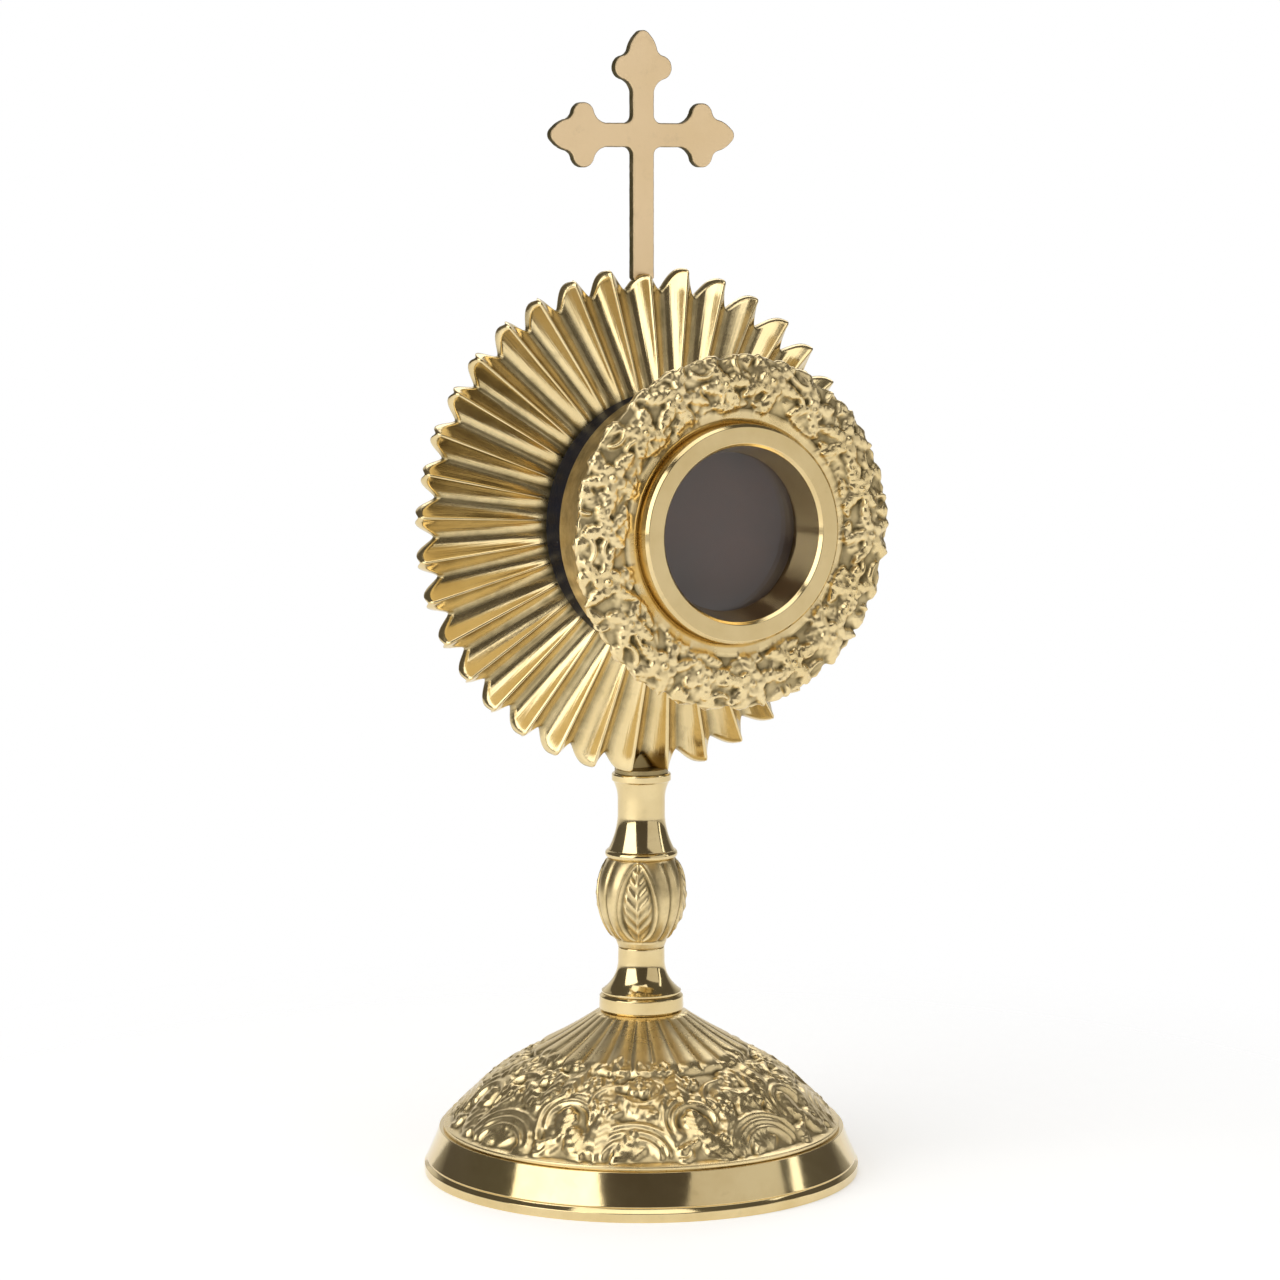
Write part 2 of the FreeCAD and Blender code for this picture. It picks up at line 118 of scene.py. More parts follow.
def soften(points, radius, closed=True):
    """The same run with a small round at each sharp corner, and a point just beyond each round
    that keeps the flat beside it flat."""
    out = []
    n = len(points)
    for i in range(n):
        p = points[i]
        if not closed and i in (0, n - 1):
            out.append(p)
            continue
        u, v = points[i - 1] - p, points[(i + 1) % n] - p
        lu, lv = np.hypot(*u), np.hypot(*v)
        turn = math.pi - math.acos(max(-1, min(1, float(u @ v) / (lu * lv))))
        if turn < SMALL_TURN:
            out.append(p)
            continue
        cut = min(radius * math.tan(turn / 2), 0.3 * lu, 0.3 * lv)
        s, e = p + u / lu * cut, p + v / lv * cut
        out.append(p + u / lu * min(2.2 * cut, 0.45 * lu))
        for t in (0, 0.25, 0.5, 0.75, 1):
            out.append((1 - t) ** 2 * s + 2 * t * (1 - t) * p + t * t * e)
        out.append(p + v / lv * min(2.2 * cut, 0.45 * lv))
    return np.array(out)


def divide(points, step, closed=True):
    """The same run with no stretch longer than step."""
    out = []
    n = len(points)
    for i in range(n if closed else n - 1):
        a, b = points[i], points[(i + 1) % n]
        k = max(1, math.ceil(np.hypot(*(b - a)) / step))
        out += [a + (b - a) * j / k for j in range(k)]
    if not closed:
        out.append(points[-1])
    return np.array(out)


# ------------------------------------------------------------------ meshes

def make(name, verts, faces, material, node_name):
    """A smooth piece, in millimetres, that takes the place of a node of the CAD."""
    mesh = bpy.data.meshes.new(name)
    mesh.from_pydata((np.asarray(verts) * MM).tolist(), [], faces)
    mesh.polygons.foreach_set("use_smooth", [True] * len(mesh.polygons))
    mesh.materials.append(material)
    mesh.validate()
    mesh.update()
    obj = bpy.data.objects.new(name, mesh)
    bpy.context.scene.collection.objects.link(obj)
    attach(obj, BODY_OF[node_name])
    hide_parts(node_name)
    return obj


def upright(r, along, angle):
    """Turned about the stem: radius, height, angle."""
    return np.stack([r * np.cos(angle), r * np.sin(angle), along + 0 * angle], -1)


def facing(r, along, angle):
    """Turned about the case: radius, distance in front of the stem, angle from the top."""
    return np.stack([r * np.sin(angle), -along + 0 * angle, HEAD_Z + r * np.cos(angle)], -1)


def quads(rows, cols, closed):
    """Faces of a grid that wraps round its columns, and round its rows if closed."""
    i = np.arange(rows if closed else rows - 1)[:, None]
    j = np.arange(cols)[None, :]
    i2, j2 = (i + 1) % rows, (j + 1) % cols
    f = np.stack([i * cols + j, i * cols + j2, i2 * cols + j2, i2 * cols + j], -1)
    return f.reshape(-1, 4)


def facing_out(verts, faces):
    """Faces turned so that the whole grid encloses a positive volume."""
    a, b, c, d = (verts[faces[:, k]] for k in range(4))
    volume = np.einsum("ij,ij->i", a, np.cross(b, c) + np.cross(c, d)).sum()
    return faces if volume > 0 else faces[:, ::-1]


def turned(name, spec, material, node_name, place=upright, soft=0.2, segments=256, step=0.5):
    """A turned piece: the closed outline, its corners softened, swept round its axis."""
    outline = path(spec, step)
    closed = outline[0][0] > ON_AXIS
    outline = divide(soften(outline, soft, closed), LONGEST, closed)
    angle = np.arange(segments) * TAU / segments
    verts = place(outline[:, 0][:, None], outline[:, 1][:, None], angle[None, :]).reshape(-1, 3)
    faces = facing_out(verts, quads(len(outline), segments, closed))
    if closed:
        faces = faces.tolist()
    else:
        verts, faces = weld_ends(verts, faces, len(outline), segments)
    return make(name, verts, faces, material, node_name)


def weld_ends(verts, faces, rows, cols):
    """Closes a grid whose first and last rows lie on the axis, with one vertex at each end."""
    index = np.arange(rows * cols)
    index[:cols] = 0
    index[(rows - 1) * cols:] = (rows - 1) * cols
    used, packed = np.unique(index, return_inverse=True)
    out = []
    for f in packed[faces].tolist():
        ring = [f[k] for k in range(4) if f[k] != f[k - 1]]
        if len(ring) > 2:
            out.append(ring)
    return verts[used], out


def soften_edges(obj, width):
    """Rounds the sharp edges of a piece as it is drawn."""
    bevel = obj.modifiers.new("round", "BEVEL")
    bevel.width = width * MM
    bevel.segments = 2
    bevel.limit_method = "ANGLE"
    bevel.angle_limit = math.radians(40)
    bevel.use_clamp_overlap = False


# --------------------------------------------------------------- materials

def node(tree, kind, inputs=None, **settings):
    """A new shader node. An input is a fixed value or another node's socket."""
    n = tree.nodes.new("ShaderNode" + kind)
    for key, value in settings.items():
        setattr(n, key, value)
    for key, value in (inputs or {}).items():
        if isinstance(value, bpy.types.NodeSocket):
            tree.links.new(value, n.inputs[key])
        else:
            n.inputs[key].default_value = value
    return n


def ramp(tree, value, stops):
    """Colours blended along the value, from (value, colour) stops."""
    n = node(tree, "ValToRGB", {"Fac": value})
    bar = n.color_ramp
    while len(bar.elements) < len(stops):
        bar.elements.new(0.5)
    for element, (at, colour) in zip(bar.elements, stops):
        element.position = at
        element.color = tuple(colour) + (1,)
    return n.outputs["Color"]


def span(tree, value, low, high, to_low, to_high):
    """The value, with low to high stretched to run from to_low to to_high, and held there."""
    n = node(tree, "MapRange", {"Value": value, "From Min": low, "From Max": high,
                                "To Min": to_low, "To Max": to_high})
    return n.outputs["Result"]


def maths(tree, operation, *values):
    return node(tree, "Math", dict(enumerate(values)), operation=operation).outputs[0]


def distance(tree, x, y):
    """Length of the vector (x, y)."""
    total = maths(tree, "ADD", maths(tree, "MULTIPLY", x, x), maths(tree, "MULTIPLY", y, y))
    return maths(tree, "SQRT", total)


def noise(tree, vector, scale, detail=3.0, rough=0.55):
    return node(tree, "TexNoise", {"Vector": vector, "Scale": scale, "Detail": detail,
                                   "Roughness": rough}).outputs["Fac"]


def raised(tree, height, strength, depth, **below):
    """A normal bent by the height, over the normal given as Normal."""
    return node(tree, "Bump", {"Height": height, "Strength": strength, "Distance": depth,
                               **below}).outputs[0]


def shader(name, **sockets):
    """A material with one surface shader, and the object's own coordinates to paint it by."""
    material = bpy.data.materials.new(name)
    material.use_nodes = True
    tree = material.node_tree
    tree.nodes.clear()
    out = node(tree, "OutputMaterial")
    bsdf = node(tree, "BsdfPrincipled", sockets)
    tree.links.new(bsdf.outputs[0], out.inputs[0])
    where = node(tree, "TexCoord").outputs["Object"]
    return material, tree, bsdf, where


def rings(tree, where, scale):
    """A fine noise that doesn't change round the case's axis, as turning leaves it."""
    x, along, z = node(tree, "SeparateXYZ", {0: where}).outputs
    r = distance(tree, x, maths(tree, "SUBTRACT", z, HEAD_Z * MM))
    vector = node(tree, "CombineXYZ", {0: r, 1: along, 2: 0.0}).outputs[0]
    return noise(tree, vector, scale, 2.0)


def blend(tree, factor, a, b):
    """Colour a, turning to the fixed colour b as the factor rises."""
    mix = node(tree, "Mix", {0: factor, 6: a}, data_type="RGBA")
    mix.inputs[7].default_value = b
    return mix.outputs[2]


def strokes(tree, where):
    """A noise drawn out along the rays, as hand polishing leaves it."""
    x, _, z = node(tree, "SeparateXYZ", {0: where}).outputs
    up = maths(tree, "SUBTRACT", z, HEAD_Z * MM)
    around = maths(tree, "MULTIPLY", maths(tree, "ARCTAN2", x, up), 46.0)
    out = maths(tree, "MULTIPLY", distance(tree, x, up), 28.0)
    vector = node(tree, "CombineXYZ", {0: around, 1: out, 2: 0.0}).outputs[0]
    return noise(tree, vector, 1.0, 3.0, 0.6)


def brass(name, light, mid, dark, rough, bump, grain, worn_and_painted_light=False, turning=None,
          turning_bump=None, streaks=False, faced=False):
    """Brass with cloudy colour, smudged gloss and a fine grain.

    worn_and_painted_light: dark patina in the hollows, and on some pieces painted shade and painted
    light, where the mesh carries a 'hollow' layer.
    turning: scale of the marks of turning about the case's axis.
    streaks: polishing strokes along the rays.
    faced: duller on the surfaces that face forward.
    """
    material, tree, bsdf, where = shader(name, **{"Metallic": 1.0, "Specular IOR Level": 0.5})
    stain = noise(tree, where, 260.0, 6.0, 0.65)
    colour = ramp(tree, noise(tree, where, 70.0, 5.0, 0.6), [(0.32, mid), (0.62, light)])
    spots = ramp(tree, stain, [(0.58, (0, 0, 0)), (0.78, (0.25, 0.25, 0.25))])
    stained = tuple(0.5 * (m + d) for m, d in zip(mid, dark)) + (1,)
    colour = blend(tree, spots, colour, stained)
    gloss = span(tree, noise(tree, where, 140.0, 5.0, 0.7), 0.3, 0.75, rough[0], rough[1])
    if worn_and_painted_light:
        # the layer holds patina in the hollows, and on some pieces painted shade and painted light
        layer = node(tree, "Attribute", attribute_name="hollow").outputs["Fac"]
        hollow = span(tree, maths(tree, "ADD", layer, span(tree, stain, 0.3, 0.7, -0.14, 0.14)),
                      0.12, 0.90, 0.0, 1.0)
        colour = blend(tree, hollow, colour, tuple(dark) + (1,))
        gloss = maths(tree, "ADD", gloss, maths(tree, "MULTIPLY", hollow, 0.3))
    if faced:
        parts = node(tree, "SeparateXYZ", {0: node(tree, "TexCoord").outputs["Normal"]})
        gloss = maths(tree, "ADD", gloss, span(tree, parts.outputs[1], -0.98, -0.9, 0.20, 0.0))
    tree.links.new(colour, bsdf.inputs["Base Color"])
    tree.links.new(gloss, bsdf.inputs["Roughness"])
    fine = maths(tree, "ADD", noise(tree, where, grain, 4.0, 0.6),
                 maths(tree, "MULTIPLY", noise(tree, where, 320.0, 2.0), 1.5))
    normal = raised(tree, fine, bump, 0.0002)
    if turning:
        normal = raised(tree, rings(tree, where, turning), turning_bump, 0.0001, Normal=normal)
    if streaks:
        normal = raised(tree, strokes(tree, where), 0.16, 0.0004, Normal=normal)
    tree.links.new(normal, bsdf.inputs["Normal"])
    return material


PALE = (0.80, 0.645, 0.355)
WARM = (0.70, 0.54, 0.265)
BROWN = (0.095, 0.077, 0.032)

CAST = brass("cast_brass", (0.88, 0.712, 0.40), (0.78, 0.61, 0.31), (0.13, 0.10, 0.043),
             rough=(0.23, 0.35), bump=0.08, grain=2200.0, worn_and_painted_light=True)
POLISHED = brass("polished_brass", PALE, WARM, BROWN, rough=(0.07, 0.14), bump=0.02, grain=1400.0)
RAYS = brass("ray_brass", PALE, WARM, (0.14, 0.11, 0.05), rough=(0.13, 0.23), bump=0.05,
             grain=1700.0, worn_and_painted_light=True, streaks=True)
SATIN = brass("satin_brass", (0.93, 0.72, 0.45), (0.87, 0.66, 0.39), BROWN, rough=(0.36, 0.50),
              bump=0.14, grain=3200.0, worn_and_painted_light=True)
BORE = brass("turned_brass", (0.77, 0.61, 0.325), (0.68, 0.52, 0.255), BROWN, rough=(0.09, 0.16),
             bump=0.03, grain=2600.0, turning=9000.0, turning_bump=0.10, faced=True)
SPUN = brass("spun_brass", PALE, WARM, BROWN, rough=(0.17, 0.30), bump=0.05, grain=2400.0,
             turning=7000.0, turning_bump=0.14)
HARDWARE = brass("hardware_brass", PALE, WARM, BROWN, rough=(0.18, 0.32), bump=0.08, grain=2400.0)
TARNISHED = brass("tarnished_brass", (0.40, 0.31, 0.15), (0.24, 0.18, 0.08), BROWN,
                  rough=(0.28, 0.45), bump=0.14, grain=2400.0)


def steel():
    material, tree, bsdf, where = shader("plated_steel", **{"Metallic": 1.0})
    cloud = noise(tree, where, 220.0, 5.0)
    tree.links.new(ramp(tree, cloud, [(0.3, (0.50, 0.49, 0.45)), (0.7, (0.66, 0.66, 0.64))]),
                   bsdf.inputs["Base Color"])
    tree.links.new(span(tree, noise(tree, where, 700.0, 4.0), 0.3, 0.7, 0.24, 0.42),
                   bsdf.inputs["Roughness"])
    normal = raised(tree, noise(tree, where, 2600.0, 4.0), 0.15, 0.0002)
    tree.links.new(normal, bsdf.inputs["Normal"])
    return material


def rubber():
    material, tree, bsdf, where = shader("black_rubber", **{"Specular IOR Level": 0.06})
    cloud = noise(tree, where, 180.0, 5.0, 0.6)
    colour = ramp(tree, cloud, [(0.3, (0.002, 0.003, 0.006)), (0.75, (0.006, 0.008, 0.018))])
    speck = node(tree, "TexVoronoi", {"Vector": where, "Scale": 620.0, "Randomness": 1.0})
    dust = ramp(tree, speck.outputs["Distance"], [(0.05, (1, 1, 1)), (0.11, (0, 0, 0))])
    few = ramp(tree, noise(tree, where, 420.0, 1.0), [(0.58, (0, 0, 0)), (0.64, (1, 1, 1))])
    colour = blend(tree, maths(tree, "MULTIPLY", dust, few), colour, (0.16, 0.15, 0.14, 1))
    tree.links.new(colour, bsdf.inputs["Base Color"])
    tree.links.new(span(tree, cloud, 0.3, 0.7, 0.36, 0.55), bsdf.inputs["Roughness"])
    normal = raised(tree, noise(tree, where, 1500.0, 5.0), 0.25, 0.0003)
    tree.links.new(normal, bsdf.inputs["Normal"])
    return material


def cloth():
    material, tree, bsdf, where = shader("mauve_cloth", **{"Sheen Weight": 0.25,
                                                           "Sheen Roughness": 0.5,
                                                           "Specular IOR Level": 0.2})
    cloud = noise(tree, where, 55.0, 4.0, 0.55)
    colour = ramp(tree, cloud, [(0.35, (0.190, 0.148, 0.142)), (0.65, (0.235, 0.160, 0.148))])
    tree.links.new(colour, bsdf.inputs["Base Color"])
    x, _, z = node(tree, "SeparateXYZ", {0: where}).outputs
    weave = maths(tree, "MULTIPLY", *(maths(tree, "SINE", maths(tree, "MULTIPLY", way, 15000.0))
                                      for way in (x, z)))
    tree.links.new(span(tree, weave, -1, 1, 0.82, 0.90), bsdf.inputs["Roughness"])
    normal = raised(tree, noise(tree, where, 420.0, 3.0), 0.03, 0.0002)
    tree.links.new(normal, bsdf.inputs["Normal"])
    return material


def glass():
    material, tree, bsdf, where = shader("clear_glass", **{"Transmission Weight": 1.0, "IOR": 1.46,
                                                           "Base Color": (0.97, 0.98, 0.97, 1)})
    tree.links.new(span(tree, noise(tree, where, 150.0, 4.0), 0.35, 0.8, 0.0, 0.035),
                   bsdf.inputs["Roughness"])
    normal = raised(tree, noise(tree, where, 60.0, 2.0), 0.02, 0.0002)
    tree.links.new(normal, bsdf.inputs["Normal"])
    return material


STEEL, RUBBER, CLOTH, GLASS = steel(), rubber(), cloth(), glass()


# ------------------------------------------------------------------ motifs
# Each takes places in millimetres along and across the motif and gives its height there.

def dome(q):
    return np.sqrt(np.clip(1 - q * q, 0, 1))


def leaf(length, half, height, lobes, bend=0.0):
    """A leaf of rounded fingers that slope forwards from its midrib."""
    def shape(x, y):
        y = y - bend * x * x / length
        s = np.clip((x - 0.7 * np.abs(y)) / length, 0.002, 0.998)
        edge = half * np.sin(math.pi * s ** 0.75) ** 0.65
        q = np.abs(y) / np.maximum(edge, 0.05)
        groove = np.abs((s * lobes) % 1.0 * 2 - 1) ** 3.5
        swell = 0.2 + 0.8 * dome(np.clip(q, 0, 1) ** 1.2)
        body = height * (0.7 + 0.3 * s) * (1 - 0.38 * groove) * swell
        rib = 0.12 * height * np.exp(-(y / 0.3) ** 2)
        inside = (q + 0.22 * groove < 1) & (x > 0) & (x < length)
        return np.where(inside, body + rib, OFF)
    return shape


def flower(radius, height, petals, turn):
    """Cupped petals, creased between, about a raised bead."""
    def shape(x, y):
        r, a = np.hypot(x, y), np.arctan2(y, x) + turn
        lobe = np.abs(np.cos(0.5 * petals * a))
        edge = radius * (0.62 + 0.38 * lobe ** 0.55)
        q = np.clip(r / edge, 0, 1)
        cup = height * (0.25 + 0.75 * q) * (0.45 + 0.55 * lobe ** 0.6) * dome(q ** 4)
        h = np.where(r < edge, cup, OFF)
        eye = 0.26 * radius
        return np.maximum(h, np.where(r < eye, height * (0.25 + 0.75 * dome(r / eye)), OFF))
    return shape


def scroll(radius, height, turns):
    """A ridge that winds in to a raised eye."""
    def shape(x, y):
        r, a = np.hypot(x, y), np.arctan2(y, x) % TAU
        pitch = radius / (turns + 0.55)
        k = np.clip(np.round((radius - r) / pitch - a / TAU), 0, math.ceil(turns))
        along = k + a / TAU
        d = np.abs(r - radius + pitch * (along + 0.35)) / (0.44 * pitch)
        h = np.where((d < 1) & (along < turns), height * dome(d) * (1 - 0.25 * along / turns), OFF)
        eye = 0.30 * radius
        h = np.maximum(h, np.where(r < eye, height * (0.3 + 0.8 * dome(r / eye)), OFF))
        return np.maximum(h, np.where(r < 0.9 * radius, 0.12 * height, OFF))
    return shape


def fan(radius, height, ribs, spread):
    """Ribs that spread from a point, each with a rounded end."""
    def shape(x, y):
        r, a = np.hypot(x, y), np.arctan2(y, x) / spread
        rib = np.abs(np.cos(0.5 * math.pi * ribs * a))
        edge = radius * (0.84 + 0.16 * rib ** 0.6)
        q = np.clip(r / edge, 0, 1)
        h = height * (0.25 + 0.75 * q ** 0.7) * (0.25 + 0.75 * rib ** 0.7) * dome(q ** 4)
        return np.where((np.abs(a) < 1) & (r < edge), h, OFF)
    return shape


def bow(radius, half, height, start, end):
    """A rounded ridge along an arc, thinner towards its ends."""
    def shape(x, y):
        r, a = np.hypot(x, y), np.arctan2(y, x)
        s = (a - start) % TAU / (end - start)
        thin = half * (0.35 + 0.65 * np.sin(math.pi * np.clip(s, 0, 1)) ** 0.6)
        d = np.abs(r - radius) / thin
        return np.where((d < 1) & (s < 1), height * dome(d), OFF)
    return shape


def bead(radius, height):
    """A half ball."""
    def shape(x, y):
        r = np.hypot(x, y) / radius
        return np.where(r < 1, height * dome(r), OFF)
    return shape


def paint_hollow(obj, values):
    """The layer that the worn materials read: 1 in the deepest hollows; some pieces also carry
    painted shade and painted light in it.
    """
    layer = obj.data.attributes.new("hollow", "FLOAT", "POINT")
    layer.data.foreach_set("value", np.clip(values, 0, 1).reshape(-1).astype(np.float32))


class Relief:
    """Heights over a closed turned outline.

    p: points of the outline, a row of the grid for each.  s: distance along it.
    a: angle of each column.  h: height at each place, out from the surface.
    """
    REACH = 13          # a motif of size 1 lies within this distance of its own origin
    SMOOTHINGS = 24     # passes that give the level a hollow is measured from

    def __init__(self, outline, columns):
        self.p = outline
        self.s = np.concatenate([[0], np.cumsum(np.hypot(*np.diff(outline, axis=0).T))])
        self.a = np.arange(columns) * TAU / columns
        self.h = np.zeros((len(outline), columns))

    def along_to(self, near):
        """Distance along the outline of its point nearest to this radius and height."""
        return self.s[np.argmin(np.hypot(*(self.p - np.array(near)).T))]

    def stamp(self, angle, s, turn, motif, size=1.0, lift=0.0, mirror=1):
        """One motif with its origin at this angle and distance s, laid over what is there.

        turn: which way its length points; 0 is round the piece, pi/2 along the outline.
        """
        reach = self.REACH * size
        rows = np.nonzero(np.abs(self.s - s) < reach)[0]
        away = (self.a - angle + math.pi) % TAU - math.pi
        here = np.interp(s, self.s, self.p[:, 0])
        cols = np.nonzero(np.abs(away) * here < reach)[0]
        x = away[cols][None, :] * self.p[rows, 0][:, None]
        y = np.repeat((self.s[rows] - s)[:, None], len(cols), 1)
        cosine, sine = math.cos(turn), math.sin(turn)
        u, v = (cosine * x + sine * y) / size, mirror * (cosine * y - sine * x) / size
        grid = np.ix_(rows, cols)
        height = motif(u, v)
        self.h[grid] = np.where(height > OFF, height * size + lift, self.h[grid])

    def strew(self, rng, count, start, end, motif, size, lift=0.0):
        """Motifs laid over one another at random between start and end."""
        for _ in range(count):
            self.stamp(rng.uniform(0, TAU), rng.uniform(start, end), rng.uniform(0, TAU),
                       motif(), size, lift)

    def blur(self, field, times):
        """Each pass averages every height with its neighbours, across and along."""
        for _ in range(times):
            field = (np.roll(field, 1, 1) + 2 * field + np.roll(field, -1, 1)) / 4
            inner = (field[:-2] + 2 * field[1:-1] + field[2:]) / 4
            field = np.concatenate([field[:1], inner, field[-1:]])
        return field

    def normals(self):
        """Directions out of the outline, whichever way round it runs."""
        p = self.p
        t = np.roll(p, -1, 0) - np.roll(p, 1, 0)
        area = 0.5 * np.sum(p[:, 0] * np.roll(p[:, 1], -1) - np.roll(p[:, 0], -1) * p[:, 1])
        t /= np.hypot(t[:, 0], t[:, 1])[:, None]
        n = np.stack([t[:, 1], -t[:, 0]], -1)
        return n if area > 0 else -n

    def build(self, name, material, node_name, place, depth, tarnish_and_painted_light):
        """The piece. A hollow this deep gets the full dark patina; the last argument, added all
        over, holds patina, painted shade and painted light.
        """
        n = self.normals()
        r = self.p[:, 0][:, None] + n[:, 0][:, None] * self.h
        z = self.p[:, 1][:, None] + n[:, 1][:, None] * self.h
        verts = place(r, z, np.repeat(self.a[None, :], len(self.p), 0)).reshape(-1, 3)
        faces = facing_out(verts, quads(len(self.p), len(self.a), True))
        obj = make(name, verts, faces.tolist(), material, node_name)
        low = self.blur(self.h, self.SMOOTHINGS)
        paint_hollow(obj, np.clip((low - self.h) / depth + 0.06, 0, 1) + tarnish_and_painted_light)


def fade(s, start, end, width):
    """1 between start and end, falling to 0 over width outside them."""
    return np.clip((s - start) / width + 1, 0, 1) * np.clip((end - s) / width + 1, 0, 1)


def jitter(rng):
    """A function that draws between minus and plus a width."""
    return lambda width: rng.uniform(-width, width)


# ------------------------------------------------------------ front casting

def front_casting():
    """The flared casting round the window, with a wreath of flowers and leaves over its rim."""
    rng = random.Random(41)
    jig = jitter(rng)
    rear_edge, rim_crest, inner_edge = (27.1, 17.4), (34.4, 38.1), (23.5, 39.6)
    outside = path([(26.0, 17.4), rear_edge, ((29.2, 28.6), (33.8, 36.8)),
                    (rim_crest, (33.5, 39.2)), ((29.0, 40.4), inner_edge)], 0.22)
    inside = divide(path([inner_edge, ((22.95, 39.15), (22.3, 39.0)), (21.55, 38.95),
                          (21.55, 33.2), (22.25, 33.2), (22.25, 24.0), (23.9, 24.0), (23.9, 35.8),
                          ((27.5, 37.6), (31.8, 36.9)), ((27.7, 28.4), (26.0, 17.4))], 0.9),
                    2.0, closed=False)
    work = Relief(np.concatenate([outside, inside[1:-1]]), 900)
    rear, rim, inner = (work.along_to(place) for place in (rear_edge, rim_crest, inner_edge))
    skirt_end = rim - 6.0     # the skirt is plain behind this
    out, back = -math.pi / 2, math.pi / 2    # turns that point to the skirt, and to the window
    face = (rim + inner) / 2
    sprays = 9
    step = TAU / sprays
    work.strew(rng, 120, rim - 0.5, inner - 1.0,
               lambda: leaf(7.0, 2.4 + jig(0.4), 1.3, 3, jig(0.5)), 0.75, -0.35)
    for m in range(sprays):
        at = step * (m + 0.15)
        # small leaves along the inner edge, and stems that curl between the sprays
        for k, (offset, turn) in enumerate(((0.02, 0.2), (0.30, 2.9), (0.52, 0.1), (0.98, 3.0))):
            work.stamp(at + step * offset, inner - 1.5 + jig(0.2), turn + jig(0.2),
                       leaf(5.4 + jig(0.4), 1.4, 1.1, 4, 0.3 * (-1) ** k))
        for offset, where, turn in ((0.52, rim + 1.2, 0.3), (0.94, rim + 2.0, 2.6),
                                    (0.5, inner - 3.2, 4.2)):
            work.stamp(at + step * offset, where, turn + jig(0.3),
                       bow(2.7 + jig(0.3), 0.6, 1.2, 0, 2.4))
        # leaves over the rim and down the skirt
        for k in range(3):
            a = at + step * (k + 0.5) / 3 + jig(0.03)
            work.stamp(a, rim - 4.2 + jig(0.6), back + jig(0.4), leaf(5.2 + jig(0.8), 2.2, 0.8, 4))
            work.stamp(a + step * 0.12, rim + 3.4 + jig(0.5), out + jig(0.35),
                       leaf(6.4 + jig(0.6), 2.1 + jig(0.2), 1.2, 4, jig(0.3)))
        # a large flower and a small one, with leaves spreading from them
        for offset, where, size, leaves in ((0.20, face - 0.3, 3.1, 5), (0.72, face + 0.9, 2.3, 4)):
            a, s = at + step * offset + jig(0.02), where + jig(0.3)
            for k in range(leaves):
                work.stamp(a, s, TAU * (k + offset) / leaves + jig(0.2),
                           leaf(size * 2.15 + jig(0.4), 1.5 + jig(0.2), 1.3, 4, jig(0.35)))
            work.stamp(a, s, 0, flower(size + jig(0.15), 1.5, 5, jig(0.6)), 1.0, 0.15)
    keep = fade(work.s, skirt_end, inner - 0.3, 0.6)[:, None]
    ground = fade(work.s, rim - 3.5, inner - 0.4, 1.5)[:, None]
    work.h = work.blur(work.h * keep, 2) - 0.9 * ground
    # The plain skirt is painted darker, most of all at the top, as painted shade for the dark room
    # it reflects; the cove beside the bezel is kept lighter.
    skirt_painted_shade = fade(work.s, rear, skirt_end, 1.5)[:, None] * (0.55 + 0.25 * np.cos(work.a))
    cove = -0.2 * fade(work.s, inner + 0.3, inner + 4.0, 0.5)[:, None]
    deep = 0.25 * np.clip(0.1 - work.h, 0, 1) * keep
    work.build("front_casting", CAST, "ornate_ring", facing, 0.72, skirt_painted_shade + cove + deep)


# ----------------------------------------------------------------- sunburst

